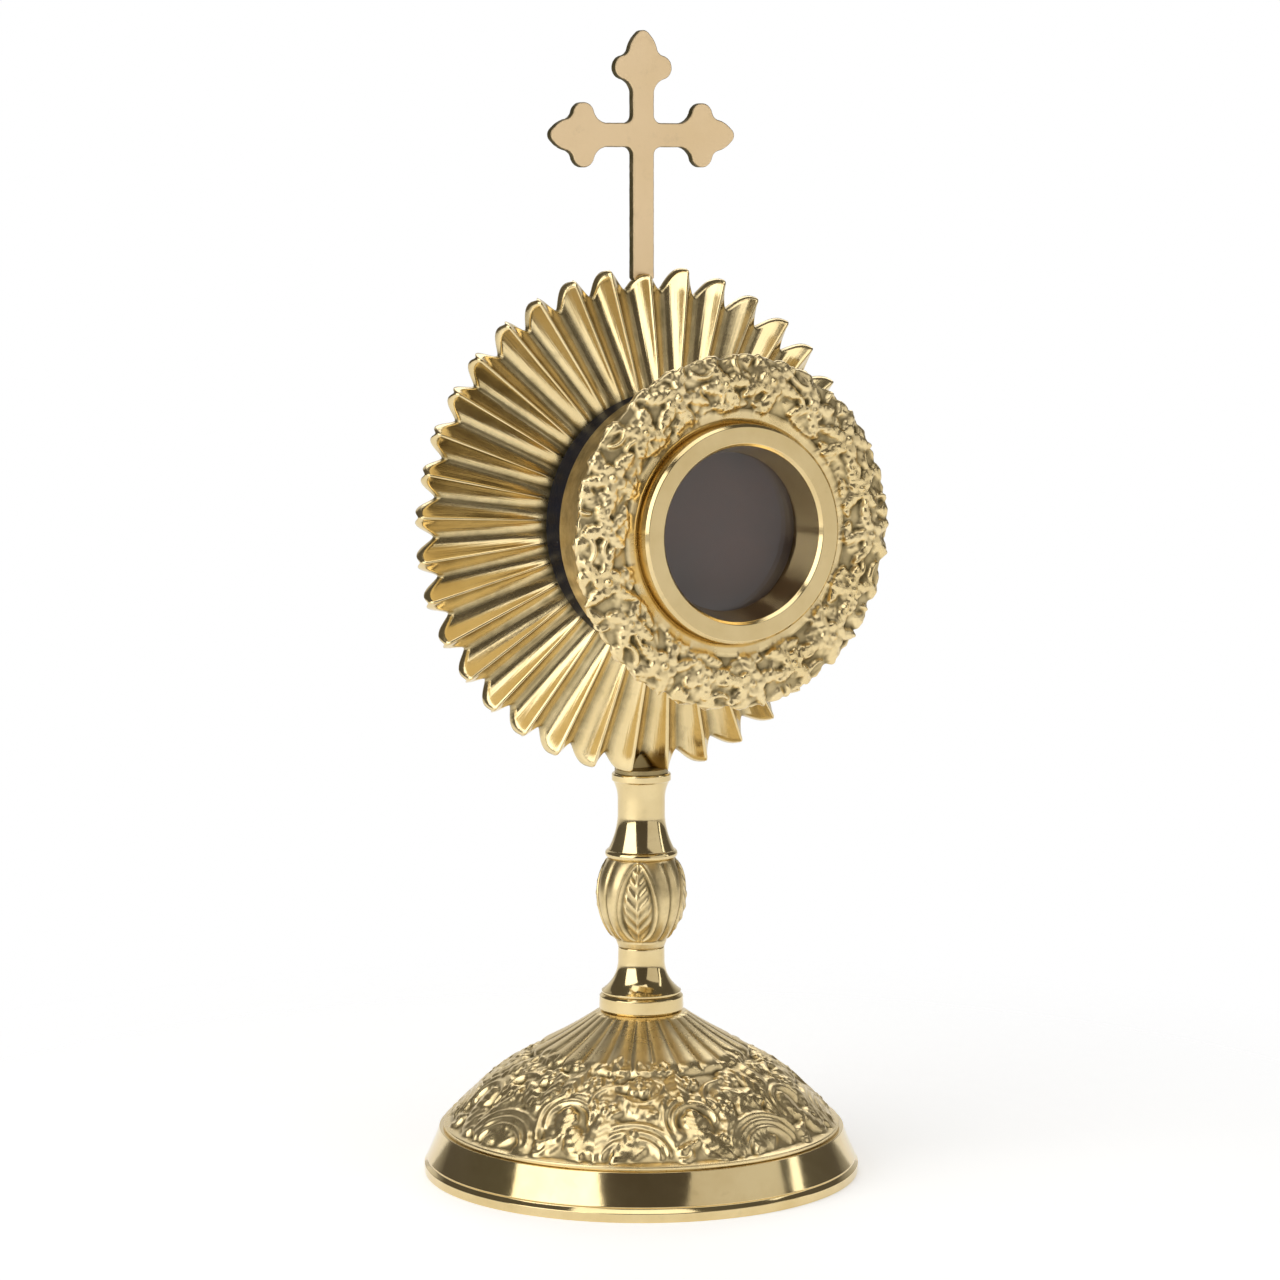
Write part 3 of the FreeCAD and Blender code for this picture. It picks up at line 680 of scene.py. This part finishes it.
def rays():
    """The plate of rays: a grid of columns round it and rows outwards, front and then back."""
    rng = random.Random(7)
    per_ray = 24                   # columns
    hub, mean_valley, mean_tip = 22.4, 45.9, 50.55   # radii
    slopes_from = 21               # radius that the slopes of crest and valley are measured from
    wall = 1.5
    roll = 1.1                     # how far from its end a ray starts to round over
    skin = 0.12                    # how far the back is drawn in at the plate's edge
    full_at, full_over = 169, 46   # degrees from the top where the plate is fuller, and the spread
    end_from = 0.84                # share of a ray's length where its rows get closer together
    ease = np.linspace(-1, 1, per_ray, endpoint=False)
    share = np.sign(ease) * np.abs(ease) ** 1.15
    length_out = np.concatenate([np.linspace(0, end_from, 22),
                                 end_from + 0.16 * np.linspace(0, 1, 16)[1:]])
    columns = []
    for k in range(RAYS_ROUND):
        blunt, lift, skew = rng.uniform(0, 0.5), rng.uniform(-0.15, 0.15), rng.uniform(-0.09, 0.09)
        if k == 0:
            blunt = 1.7  # the ray in front of the cross is shorter
        columns += [(TAU * (k + x / 2) / RAYS_ROUND, x, blunt, lift, skew) for x in share]
    angle, across, blunt, lift, skew = np.array(columns).T
    # off is 0 on the crest of a ray and 1 in the valley beside it; plan is its shape from the front
    off = np.clip(np.abs(across + skew * (1 - np.abs(across))), 0, 1)
    plan = 0.5 + 0.5 * np.cos(math.pi * np.clip((off - 0.12) / 0.88, 0, 1))
    fuller = np.exp(-((np.degrees(angle) - full_at) / full_over) ** 2)
    outer = (mean_valley + 2.3 * fuller
             + (mean_tip - mean_valley - blunt - 1.1 * fuller) * plan ** 0.75)
    r = hub + (outer - hub)[None, :] * length_out[:, None]
    # distances in front of the stem, which fall evenly outwards
    crest = 8.8 - (r - slopes_from) * 5.0 / 29.6 + lift * np.clip((r - 30) / 20, 0, 1)
    valley = 8.3 - (r - slopes_from) * 7.4 / 25.3
    rounded = np.sqrt(off ** 2 + 0.05 ** 2) - 0.05
    form = np.clip(1 - rounded, 0, 1) ** 2.0
    bead_line = 0.30 * np.exp(-(off / 0.15) ** 2) * np.clip((r - 24) / 8, 0, 1)
    d = valley + (crest - valley) * form[None, :] + bead_line
    left = outer[None, :] - r
    arched = np.sqrt(np.clip(roll ** 2 - (roll - left) ** 2, 0, None))
    front = d - np.where(left < roll, roll - arched, 0) * 1.2
    end = left[::-1]
    back_r = r[::-1] - skin * (end < 0.05)
    back_d = d[::-1] - wall - skin * np.clip(1 - end / 0.6, 0, 1)
    rr = np.concatenate([r, back_r])
    dd = np.concatenate([front, back_d])
    verts = facing(rr, dd, np.repeat(angle[None, :], len(rr), 0)).reshape(-1, 3)
    faces = facing_out(verts, quads(len(rr), len(angle), True))
    obj = make("sunburst_rays", verts, faces.tolist(), RAYS, "sunburst")
    # tarnish in the valleys, and darker round the hub
    hollow = np.repeat((np.clip((off - 0.45) / 0.55, 0, 1) ** 1.4 * 0.6)[None, :], len(rr), 0)
    hollow[:len(r)] += 0.5 * np.clip((27.5 - r) / 2.5, 0, 1)
    paint_hollow(obj, hollow)


# --------------------------------------------------------------------- foot

def foot_dome():
    """The foot's embossed shell: tongues down its cone, then a band of scrolls and leaves."""
    rng = random.Random(23)
    jig = jitter(rng)
    crown, flutes_end, dome_end = (8.6, 32.7), (21.5, 24.3), (39.8, 10.3)
    outside = path([crown, ((15.2, 28.0), flutes_end), ((28.3, 20.6), (33.4, 16.4)),
                    ((36.7, 13.4), dome_end), (40.4, 10.1), (40.4, 9.25)], 0.3)
    outside = divide(outside, 0.3, closed=False)
    inside = divide(path([(40.4, 9.25), (39.1, 9.25), ((35.7, 12.3), (32.4, 15.3)),
                          ((27.4, 19.4), (20.8, 22.8)), ((14.6, 26.5), (8.2, 30.4)),
                          (2.2, 30.4), (2.2, 32.8), (8.3, 32.8), crown], 1.2),
                    3.0, closed=False)
    work = Relief(np.concatenate([outside, inside[1:-1]]), 920)
    top, ends, foot = (work.along_to(place) for place in (crown, flutes_end, dome_end))
    s, a = work.s[:, None], work.a[None, :]
    # rounded tongues down the cone
    part = (a * FLUTES / TAU) % 1.0 * 2 - 1
    length = np.array([ends + 0.6 + jig(0.5) for _ in range(FLUTES)])
    end = length[(a * FLUTES / TAU).astype(int) % FLUTES]
    grow = np.clip((s - top - 0.3) / (ends - top), 0, 1)
    left = np.clip((end - s) / 2.2, 0, 1)
    across = np.abs(part) / np.clip(np.sqrt(1 - (1 - left) ** 2), 0.02, 1)
    rise = dome(np.clip(across * 0.97, 0, 1)) ** 0.8 * (0.35 + 0.65 * left ** 0.5)
    tongue = (0.25 + 0.75 * grow) * rise
    work.h += np.where((s < end) & (s > top) & (across < 1.03), tongue, 0)
    low = foot - ends
    up = -math.pi / 2
    repeats = 8     # of the ornament, round the dome
    step = TAU / repeats
    work.strew(rng, 170, ends + 2.0, foot - 1.0,
               lambda: leaf(7.0, 2.7 + jig(0.4), 0.9, 3, jig(0.5)), 0.9)
    for m in range(repeats):
        at = SHOWN_SIDE + step * (m + 0.30)
        # ribbed fan under arched bands that sweep down to the band of the foot
        fan_at = at - step * 0.36
        work.stamp(fan_at, foot - 0.6, up + jig(0.1), fan(4.6 + jig(0.3), 1.0, 5, 0.85), 1.0, 0.05)
        for k in range(3):
            work.stamp(fan_at, foot + 0.4, 0, bow(6.3 + 1.7 * k, 0.85, 1.0, -2.9, -0.35), 1.0, 0.05)
        # C-scroll of two broad bands round an upright leaf
        c_at, c_s = at + step * 0.12, ends + low * 0.60
        for k in range(2):
            work.stamp(c_at, c_s, 0.35, bow(4.6 + 1.8 * k, 0.95, 1.1, 2.3, 6.0), 1.0, 0.1)
        work.stamp(c_at, c_s + 4.4, up + jig(0.1), leaf(7.6, 2.5, 1.1, 4), 1.0, 0.25)
        work.stamp(c_at + step * 0.19, c_s + 4.4, 0.9, scroll(2.5, 1.1, 1.2), 1.0, 0.2)
        work.stamp(c_at - step * 0.13, c_s + 6.6, 2.4, scroll(2.2, 1.1, 1.2), 1.0, 0.2, -1)
        # acanthus between scroll and fan
        for k, (place, height, turn, size) in enumerate((
                (0.40, 1.0, up - 0.1, 11.0), (0.50, 0.99, up + 0.8, 8.0),
                (0.31, 0.99, up - 0.85, 7.5), (0.52, 0.30, 0.9, 9.0),
                (-0.20, 0.10, 1.2, 9.0), (0.10, 0.03, 2.0, 8.0))):
            work.stamp(at + step * place, ends + low * height - 0.6, turn + jig(0.15),
                       leaf(size + jig(0.5), 2.6 + jig(0.2), 1.15, 4, 0.25 * (-1) ** k), 1.0, 0.12)
        # S-shaped stems, flower heads and berries
        for place, height, turn, stem in ((0.50, 0.42, 0.4, bow(5.6, 0.7, 1.1, 2.6, 5.0)),
                                          (0.68, 0.18, 0.2, bow(4.6, 0.7, 1.1, -0.3, 2.4))):
            work.stamp(at + step * place, ends + low * height, turn, stem, 1.0, 0.1)
        for place, height, size in ((0.42, 0.47, 2.7), (0.66, 0.16, 2.7), (0.22, 0.15, 2.2)):
            work.stamp(at + step * place + jig(0.02), ends + low * height + jig(0.4), 0,
                       flower(size + jig(0.15), 1.25, 5, jig(0.6)), 1.0, 0.2)
        for k in range(4):
            work.stamp(at + step * (-0.03 + 0.04 * k), ends + low * (0.86 - 0.02 * k) + jig(0.2), 0,
                       bead(0.95 - 0.08 * k, 1.0), 1.0, 0.25)
    keep = fade(work.s, top, foot - 0.8, 0.6)[:, None]
    ground = fade(work.s, ends + 1.0, foot - 1.0, 1.0)[:, None]
    work.h = work.blur(work.h * keep, 3) - 0.6 * ground
    work.h *= np.clip((work.s - top) / 0.8, 0, 1)[:, None] * (work.s <= foot)[:, None]
    # Painted light: less tarnish on the cone makes its tongues lighter and glossier, making up for
    # the dark room they reflect.
    cone_painted_light = -0.25 * fade(work.s, top, ends, 1.0)[:, None]
    work.build("foot_dome", CAST, "base_shell", upright, 0.6, cone_painted_light)


# --------------------------------------------------------------------- knop

def knop():
    """The egg-shaped knop: leaf panels round it, with gadroons between them."""
    bottom, top = (5.2, 47.4), (6.8, 64.3)
    outside = divide(path([(4.7, 46.05), bottom, ((9.45, 56.8), top)], 0.2), 0.2, closed=False)
    inside = np.array([(4.5, 64.3), (2.3, 64.3), (2.3, 55.0), (2.3, 46.05), (3.5, 46.05)])
    work = Relief(np.concatenate([outside, inside]), 480)
    low, high = work.along_to(bottom), work.along_to(top)
    here = work.p[:, 0][:, None]
    leaves = 4
    turn = SHOWN_SIDE - 0.09    # where the first panel is

    def around(angle):
        """Distance round the knop from this angle."""
        return ((work.a[None, :] - turn - angle + math.pi) % TAU - math.pi) * here

    # share of the way up a panel, and half the panel's width there
    t = np.clip((work.s[:, None] - low - 0.2) / (high - low - 0.6), 0.0, 1.0)
    half = 3.95 * np.sin(math.pi * t ** 0.85) ** 0.72 + 0.02
    for k in range(leaves):
        # leaf panel: a raised rim round a sunk leaf with chevron veins
        x = around(TAU * k / leaves)
        q = np.abs(x) / half
        rim = 0.55 * np.exp(-((q - 1.0) * half / 0.34) ** 2) * (t > 0) * (t < 1)
        vein = 0.13 * np.cos(TAU * (7.0 * t - 0.45 * np.abs(x)))
        midrib = 0.25 * np.exp(-(x / 0.22) ** 2)
        sunk = (0.25 + vein + midrib) * np.clip((0.84 - q) * 5, 0, 1) - 0.42
        work.h += np.where(q < 1.0, sunk, 0) * np.clip((1.1 - q) / 0.14, 0, 1) + rim
        # two gadroons between this panel and the next
        y = around(TAU * (k + 0.5) / leaves)
        gap = np.maximum(here * math.pi / leaves - half - 0.4, 0.3)
        lobe = np.abs(y) / gap * 2 - 1
        work.h += np.where(np.abs(y) < gap, 0.55 * dome(np.clip(lobe, -1, 1)) - 0.2, 0) * (t > 0)
    work.h = (work.blur(work.h, 1) - 0.3) * fade(work.s, low + 0.3, high - 0.5, 0.5)[:, None]
    work.h *= (work.s <= high)[:, None]
    work.build("leaf_knop", CAST, "stem_knop", upright, 0.4, 0.22)


# -------------------------------------------------------------------- cross

def cross():
    """The flat cross with budded ends, and the tang that holds it in the top ray's hollow."""
    rng = random.Random(5)
    half, fillet = 2.4, 1.5             # half a limb's width, and the rounds between limbs
    arm_z, arm, top = 209.4, 20.6, 230.0    # height of the arms, their reach, the top's height
    shoulder, tang, foot = 181.2, 1.6, 166.0    # where the tang starts, its half width, its end
    # from front to back: y, how far the outline is drawn in there, and how much darker the brass is
    # there
    layers = ((-1.0, 0.22, 0.0), (-0.93, 0.07, 0.6), (-0.78, 0.0, 0.9),
              (0.6, 0.0, 0.9), (0.74, 0.06, 0.6), (0.8, 0.2, 0.0))

    def bud(tip):
        """One side of a budded end, from the limb out to the tip, as (out, across)."""
        return path([(tip - 12.2, half), ((tip - 10.7, 3.05), (tip - 9.7, 4.4)),
                     ((tip - 7.2, 6.4), (tip - 5.0, 4.5)), ((tip - 4.55, 3.65), (tip - 3.8, 3.15)),
                     ((tip - 1.7, 2.25), (tip - 0.45, 1.1)), ((tip - 0.12, 0.6), (tip, 0.0))],
                    0.35)

    def rotated(line, angle):
        c, s = math.cos(angle), math.sin(angle)
        return np.stack([line[:, 0] * c - line[:, 1] * s, line[:, 0] * s + line[:, 1] * c], -1)

    def limb(tip, angle):
        side = bud(tip)
        return rotated(np.concatenate([side * (1, -1), side[::-1][1:]]), angle)

    def inner(quarter):
        """The rounded corner between two limbs."""
        centre = half + fillet
        corner = np.array([(centre + fillet * math.cos(t), centre + fillet * math.sin(t))
                           for t in np.linspace(1.5 * math.pi, math.pi, 6)])
        return rotated(corner, quarter * math.pi / 2)

    stem = np.array([(-half, shoulder - arm_z), (-tang, shoulder - arm_z - 1.2),
                     (-tang, foot - arm_z), (tang, foot - arm_z),
                     (tang, shoulder - arm_z - 1.2), (half, shoulder - arm_z)])
    line = np.concatenate([limb(arm, 0), inner(0), limb(top - arm_z, math.pi / 2), inner(1),
                           limb(arm, math.pi), inner(2), stem, inner(3)])
    line = divide(line, 0.8)
    n = len(line)
    # a hand-filed edge: the outline wavers by a few hundredths, but not at the tips
    wave = [sum(rng.uniform(-1, 1) * math.sin(TAU * k * i / n + phase)
                for k, phase in ((9, 0.4), (17, 1.9), (31, 2.6))) for i in range(n)]
    t = np.roll(line, -1, 0) - np.roll(line, 1, 0)
    t /= np.hypot(t[:, 0], t[:, 1])[:, None]
    inward = np.stack([-t[:, 1], t[:, 0]], -1)
    tips = (line[:, 1] > top - arm_z - 0.6) | (np.abs(line[:, 0]) > arm - 0.6)
    line = line + inward * (np.clip(np.array(wave), -1, 1) * 0.02 + 0.03)[:, None] * ~tips[:, None]
    verts, faces = [], []
    for k, (y, cut, _) in enumerate(layers):
        verts += [(x, y, arm_z + z) for x, z in line + inward * cut]
        if k:
            faces += [[(k - 1) * n + i, (k - 1) * n + (i + 1) % n, k * n + (i + 1) % n, k * n + i]
                      for i in range(n)]
    faces.append(list(range(n))[::-1])
    faces.append([(len(layers) - 1) * n + i for i in range(n)])
    obj = make("flat_cross", verts, faces, SATIN, "cross")
    paint_hollow(obj, np.repeat([tarnish_and_painted_light for _, _, tarnish_and_painted_light in layers], n))
    bm = bmesh.new()
    bm.from_mesh(obj.data)
    bmesh.ops.recalc_face_normals(bm, faces=bm.faces)
    for f in bm.faces:
        f.smooth = len(f.verts) < 5
    bmesh.ops.triangulate(bm, faces=[f for f in bm.faces if len(f.verts) > 4])
    bm.to_mesh(obj.data)
    bm.free()
    normal = obj.modifiers.new("shade", "WEIGHTED_NORMAL")
    normal.keep_sharp = True


front_casting()
rays()
foot_dome()
knop()
cross()

# ------------------------------------------------------------ turned pieces

# Each outline is written as (radius, height), or (radius, distance in front) for the case's own.
turned("foot_band", [(42.3, 0), (44.3, 0), (44.3, 1.8), (43.75, 2.35), (43.55, 2.6),
                     (43.75, 2.95), ((42.4, 6.0), (41.2, 9.2)), (38.9, 9.2), (38.9, 7.6),
                     ((40.2, 4.6), (42.3, 0))],
       POLISHED, "base_rim", soft=0.22, segments=384, step=0.35)
turned("stem_collar_ring", [(2.2, 32.85), (8.2, 32.85), (8.6, 33.35), (8.5, 35.9), (8.0, 36.4),
                            (2.2, 36.4)],
       POLISHED, "stem_collar", soft=0.3, segments=192)
turned("stem_flare", [(2.2, 36.45), (8.0, 36.45), (8.1, 36.95), ((5.5, 39.9), (4.75, 43.6)),
                      (4.7, 46.0), (2.2, 46.0)],
       POLISHED, "stem_foot", soft=0.25, segments=192, step=0.3)
turned("stem_bead_ring", [(2.2, 64.35), (6.9, 64.35), ((7.35, 65.1), (6.9, 65.9)), (2.2, 65.9)],
       POLISHED, "stem_bead", soft=0.1, segments=192, step=0.15)
turned("stem_upper_neck", [(2.2, 65.95), (6.7, 65.95), ((5.3, 69.6), (4.8, 72.6)), (4.8, 76.2),
                           ((5.1, 78.4), (5.7, 79.9)), (6.0, 80.1), (6.0, 81.3), (5.8, 81.6),
                           (2.2, 81.6)],
       POLISHED, "stem_neck", soft=0.25, segments=192, step=0.3)
turned("window_bezel", [(19.5, 33.3), (21.5, 33.3), (21.5, 38.1), (21.2, 38.4), (21.2, 41.7),
                        (20.6, 42.3), (17.5, 42.3), (16.9, 41.6), (15.3, 35.2), (19.5, 35.2)],
       BORE, "bezel_ring", facing, soft=0.25, segments=384)
turned("case_sleeve", [(22.25, 8.85), (25.9, 8.85), (25.9, 18.0), (22.25, 18.0)],
       RUBBER, "black_band", facing, soft=0.5, segments=256)
turned("window_glass", [(0, 33.7), (19.3, 33.7), (19.3, 35.15), (0, 35.15)],
       GLASS, "front_glass", facing, soft=0.15, segments=192)
turned("relic_card", [(0, 29.05), (19.5, 29.05), (19.5, 30.35), (0, 30.35)],
       CLOTH, "backing_disc", facing, soft=0.3, segments=192)

# ---------------------------------------------------- pieces kept from the CAD

NODE_FINISH = {
    "base_washer": STEEL, "base_nut": STEEL, "tie_rod": STEEL, "retaining_ring": STEEL,
    "head_boss": TARNISHED, "case_tube": BORE, "lock_ring": HARDWARE, "glass_gasket": RUBBER,
    "door_frame": HARDWARE, "hinge_bracket": HARDWARE, "hinge_pin": HARDWARE,
    "hinge_screws": HARDWARE, "rear_door": SPUN, "door_strap": HARDWARE,
    "strap_rivets": HARDWARE, "door_lining": CLOTH, "door_knob": POLISHED,
    "latch_washer": HARDWARE, "latch_button": HARDWARE, "latch_screw": HARDWARE,
}
ROUNDED = ("rear_door", "door_strap", "strap_rivets", "door_knob", "hinge_bracket",
           "latch_button", "latch_screw", "door_frame", "lock_ring", "base_nut")
EDGE_ROUND = 0.13
for name, finish in NODE_FINISH.items():
    piece = frame["nodes"][name]
    if not piece.material_slots:
        piece.data.materials.append(finish)
    for s in piece.material_slots:
        s.material = finish
    if name in ROUNDED:
        soften_edges(piece, EDGE_ROUND)

# ------------------------------------------------------- stage, light, lens

FLOOR_R = 6            # metres
FLOOR_SIDES = 64


def floor_paper():
    """Pale paper near the object, which runs out into the white room behind it."""
    material, tree, bsdf, where = shader("pale_floor", **{"Roughness": 0.7,
                                                          "Specular IOR Level": 0.2})
    colour = ramp(tree, noise(tree, where, 3.0),
                  [(0.3, (0.86, 0.86, 0.86)), (0.7, (0.89, 0.89, 0.88))])
    tree.links.new(colour, bsdf.inputs["Base Color"])
    bsdf.inputs["Emission Color"].default_value = (1, 1, 1, 1)
    bsdf.inputs["Emission Strength"].default_value = 0.42
    away = node(tree, "VectorMath", {0: where}, operation="LENGTH").outputs["Value"]
    gone = maths(tree, "MULTIPLY", span(tree, away, 0.06, 0.22, 0.0, 1.0),
                 node(tree, "LightPath").outputs["Is Camera Ray"])
    clear = node(tree, "BsdfTransparent")
    sheet = node(tree, "MixShader", {0: gone, 1: bsdf.outputs[0], 2: clear.outputs[0]})
    tree.links.new(sheet.outputs[0], tree.nodes["Material Output"].inputs[0])
    return material


ring = [(FLOOR_R * math.cos(TAU * k / FLOOR_SIDES), FLOOR_R * math.sin(TAU * k / FLOOR_SIDES), 0.0)
        for k in range(FLOOR_SIDES)]
mesh = bpy.data.meshes.new("floor")
mesh.from_pydata(ring, [], [list(range(FLOOR_SIDES))])
mesh.materials.append(floor_paper())
floor = bpy.data.objects.new("floor", mesh)
bpy.context.scene.collection.objects.link(floor)


def towards(across, elevation):
    """Unit vector from the object: degrees to the right of the camera, and up."""
    a = SHOWN_SIDE + math.radians(across)
    e = math.radians(elevation)
    return Vector((math.cos(e) * math.cos(a), math.cos(e) * math.sin(a), math.sin(e)))


LIT_AT = Vector((0, 0, 0.11))   # the lights face this point, in metres


def softbox(name, across, elevation, distance, width, height, glow, tint=(1, 1, 1)):
    """A rectangle of even light that faces the object. Sizes in metres; glow is brightness."""
    light = bpy.data.lights.new(name, "AREA")
    light.shape = "RECTANGLE"
    light.size, light.size_y = width, height
    light.energy = glow * math.pi * width * height
    light.color = tint
    obj = bpy.data.objects.new(name, light)
    bpy.context.scene.collection.objects.link(obj)
    d = towards(across, elevation)
    obj.location = LIT_AT + d * distance
    obj.rotation_euler = (-d).to_track_quat("-Z", "Y").to_euler()
    obj.visible_camera = False


softbox("key", -49, 24, 0.9, 0.80, 0.80, 2.3)
softbox("top", -10, 74, 1.1, 0.9, 0.7, 1.55)
softbox("fill", 56, 18, 1.1, 1.1, 0.8, 0.62, (1.0, 0.98, 0.95))
softbox("edge", 93, 20, 1.0, 0.12, 0.8, 1.7)
softbox("rear", 175, 40, 1.2, 0.9, 0.6, 1.6)
softbox("rear_left", -150, 20, 1.2, 0.4, 0.8, 0.3)

world = bpy.data.worlds.new("studio")
bpy.context.scene.world = world
world.use_nodes = True
tree = world.node_tree
tree.nodes.clear()
out = node(tree, "OutputWorld")
# The room is pale behind the object and dim towards the camera, which sees plain white.
direction = node(tree, "TexCoord").outputs["Generated"]
toward = node(tree, "VectorMath", {0: direction, 1: towards(0, 0)},
              operation="DOT_PRODUCT").outputs["Value"]
ahead = span(tree, toward, -1.0, 1.0, 0.0, 1.0)
room = ramp(tree, ahead, [(0.0, (0.80, 0.79, 0.77)), (0.07, (0.52, 0.51, 0.48)),
                          (0.17, (0.11, 0.10, 0.09)), (0.60, (0.12, 0.115, 0.10)),
                          (0.80, (0.10, 0.09, 0.08)), (1.0, (0.09, 0.08, 0.07))])
seen = node(tree, "LightPath").outputs["Is Camera Ray"]
lit = node(tree, "Background", {"Color": room, "Strength": 1.0})
plain = node(tree, "Background", {"Color": (1, 1, 1, 1), "Strength": 1.0})
both = node(tree, "MixShader", {0: seen, 1: lit.outputs[0], 2: plain.outputs[0]})
tree.links.new(both.outputs[0], out.inputs[0])

camera = bpy.data.cameras.new("camera")
camera.sensor_width = 36.0
camera.lens = 111.7
view = bpy.data.objects.new("camera", camera)
bpy.context.scene.collection.objects.link(view)
view.location = Vector(CAMERA_AT) * MM
view.rotation_euler = (Vector(CAMERA_TO) - Vector(CAMERA_AT)).to_track_quat("-Z", "Y").to_euler()
bpy.context.scene.camera = view
bpy.context.scene.view_settings.view_transform = "Standard"

bpy.context.view_layer.update()
